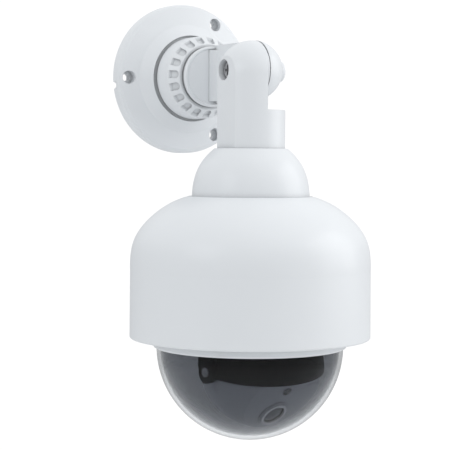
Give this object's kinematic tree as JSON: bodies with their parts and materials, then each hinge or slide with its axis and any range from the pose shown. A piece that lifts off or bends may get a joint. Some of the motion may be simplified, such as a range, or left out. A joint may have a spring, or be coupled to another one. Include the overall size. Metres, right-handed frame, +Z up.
{
  "type": "dome cctv camera",
  "caption": "Wall-mounted dome surveillance camera: round wall plate, swivel arm, tilting white housing and a pan-tilt eye in a clear bubble.",
  "frame": {"origin": "centre of the wall plate's back face, on the wall", "axes": "+Z up, along the housing; +Y into the wall, so the camera stands out towards -Y; +X to the right seen from the front"},
  "size_m": [0.1304, 0.1492, 0.2409],
  "materials": {
    "white_abs": "satin moulded ABS, cool white",
    "foam": "closed-cell foam",
    "acetal": "natural acetal",
    "rubber": "moulded rubber",
    "steel": "zinc-plated",
    "zinc_sheet": "zinc-plated sheet",
    "clear_pc": "clear polycarbonate, polished",
    "smoked_pc": "smoked polycarbonate, polished",
    "black_abs": "black ABS",
    "grey_abs": "grey ABS, satin",
    "lens_trim": "bright turned ring",
    "optic_glass": "coated lens",
    "sensor_window": "dark infrared-pass window",
    "circuit_board": "green solder mask"
  },
  "bodies": {
    "root": {"wall_plate": "white_abs", "plate_gasket": "foam", "friction_washer": "acetal"},
    "swivel": {"index_crown": "white_abs", "swivel_arm": "white_abs", "swivel_retainer": "white_abs", "retainer_screws": "steel", "cable_grommet": "rubber", "pivot_friction_disc": "acetal", "pivot_screw": "steel", "pivot_washer": "steel", "pivot_spring_washer": "steel", "pivot_nut": "steel", "pivot_cap": "white_abs"},
    "housing": {"tilt_arm": "white_abs", "collar_cap": "white_abs", "top_housing": "white_abs", "bezel_ring": "white_abs", "bubble_dome": "clear_pc", "smoked_liner": "smoked_pc", "bubble_seal": "rubber", "housing_seal": "rubber", "arm_screws": "steel", "collar_screws": "steel", "bezel_screws": "steel", "chassis_plate": "zinc_sheet", "chassis_screws": "steel", "pan_motor": "zinc_sheet", "pan_bearing": "acetal", "main_board": "circuit_board", "board_spacers": "acetal", "board_connector": "black_abs", "slip_ring": "black_abs"},
    "pan_unit": {"pan_gear": "acetal", "pan_spindle": "acetal", "pan_yoke": "black_abs", "eye_hood": "black_abs", "tilt_bushes": "black_abs"},
    "pinion": {"pan_pinion": "acetal"},
    "eye": {"eye_front_shell": "grey_abs", "eye_rear_shell": "grey_abs", "tilt_shafts": "steel", "tilt_motor": "zinc_sheet", "lens_barrel": "black_abs", "lens_glass": "optic_glass", "lens_ring": "lens_trim", "light_sensor": "sensor_window", "image_sensor_board": "circuit_board"}
  },
  "joints": [
    {"name": "wall_swivel", "type": "hinge", "parent": "root", "child": "swivel", "pos_m": [0, -0.018, 0], "axis": [0, 1, 0], "range_deg": [-90, 90]},
    {"name": "arm_tilt", "type": "hinge", "parent": "swivel", "child": "housing", "pos_m": [0, -0.0812, 0.0015], "axis": [-1, 0, 0], "range_deg": [0, 90]},
    {"name": "eye_pan", "type": "hinge", "parent": "housing", "child": "pan_unit", "pos_m": [0, -0.084, -0.116], "axis": [0, 0, 1], "continuous": true},
    {"name": "pinion_turn", "type": "hinge", "parent": "housing", "child": "pinion", "pos_m": [0.0375, -0.084, -0.116], "axis": [0, 0, 1], "continuous": true},
    {"name": "eye_tilt", "type": "hinge", "parent": "pan_unit", "child": "eye", "pos_m": [0.0015, -0.09348, -0.1576], "axis": [0.9877, 0.1564, 0], "range_deg": [-41, 49]}
  ],
  "couplings": [
    {"joint": "pinion_turn", "follows": "eye_pan", "ratio": -4}
  ]
}
